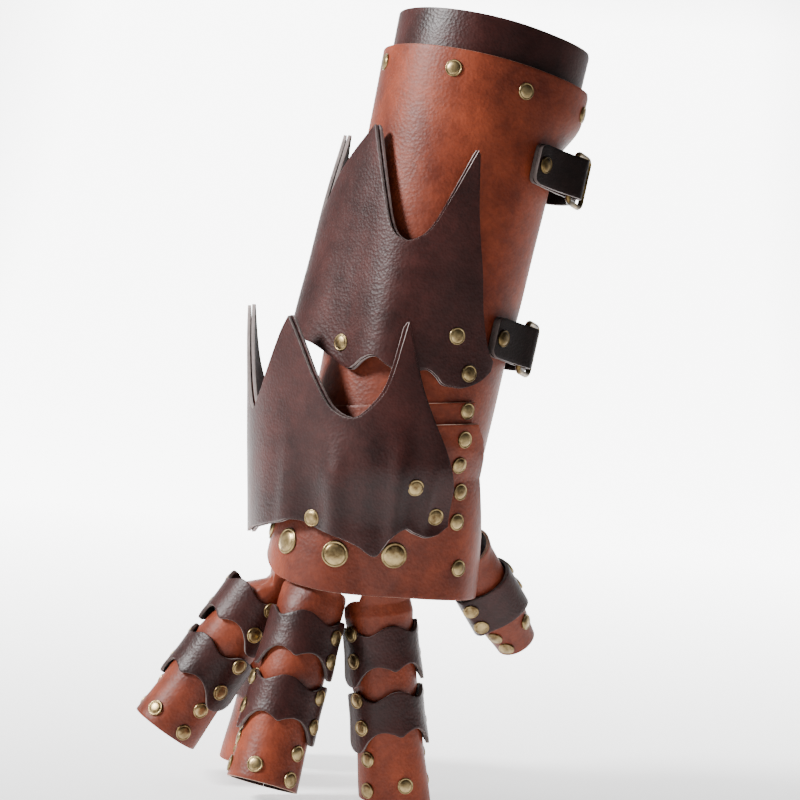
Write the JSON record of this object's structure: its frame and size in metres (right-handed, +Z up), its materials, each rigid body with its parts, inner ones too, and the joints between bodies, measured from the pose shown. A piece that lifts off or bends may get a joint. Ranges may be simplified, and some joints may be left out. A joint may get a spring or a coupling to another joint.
{
  "type": "armoured gauntlet",
  "caption": "Armoured leather gauntlet for the right hand, with a strapped forearm cuff, two spiked plates, open fingertips and domed brass rivets.",
  "frame": {"origin": "on the floor under the middle of the bounding box", "axes": "+Z up from the fingertips to the cuff, the back of the hand looks to -Y, +X is the thumb side"},
  "size_m": [0.204, 0.1438, 0.3923],
  "materials": {
    "rust_leather": "satin",
    "dark_leather": "satin",
    "brass": "satin"
  },
  "bodies": {
    "root": {"cuff_top_band": "dark_leather", "forearm_cuff": "rust_leather", "hand_plate": "rust_leather", "index_band_1": "dark_leather", "index_band_2": "dark_leather", "index_sleeve": "rust_leather", "index_tip": "rust_leather", "little_band_1": "dark_leather", "little_band_2": "dark_leather", "little_sleeve": "rust_leather", "little_tip": "rust_leather", "lower_billet": "dark_leather", "lower_buckle": "brass", "lower_plate_lining": "dark_leather", "lower_plate_outer": "dark_leather", "lower_tab": "dark_leather", "middle_band_1": "dark_leather", "middle_band_2": "dark_leather", "middle_sleeve": "rust_leather", "middle_tip": "rust_leather", "palm_panel": "rust_leather", "ring_band_1": "dark_leather", "ring_band_2": "dark_leather", "ring_sleeve": "rust_leather", "ring_tip": "rust_leather", "rivet_cuff_1": "brass", "rivet_cuff_2": "brass", "rivet_cuff_3": "brass", "rivet_cuff_4": "brass", "rivet_knuckle_index": "brass", "rivet_knuckle_little": "brass", "rivet_knuckle_middle": "brass", "rivet_knuckle_ring": "brass", "rivet_lower_1": "brass", "rivet_lower_2": "brass", "rivet_lower_3": "brass", "rivet_lower_tab": "brass", "rivet_side_1": "brass", "rivet_side_2": "brass", "rivet_side_3": "brass", "rivet_side_4": "brass", "rivet_side_5": "brass", "rivet_side_6": "brass", "rivet_upper_1": "brass", "rivet_upper_2": "brass", "rivet_upper_3": "brass", "rivet_upper_tab": "brass", "thumb_band": "dark_leather", "thumb_loop": "rust_leather", "thumb_tip": "rust_leather", "upper_billet": "dark_leather", "upper_buckle": "brass", "upper_plate_lining": "dark_leather", "upper_plate_outer": "dark_leather", "upper_tab": "dark_leather", "wrist_strip": "rust_leather"}
  },
  "joints": []
}
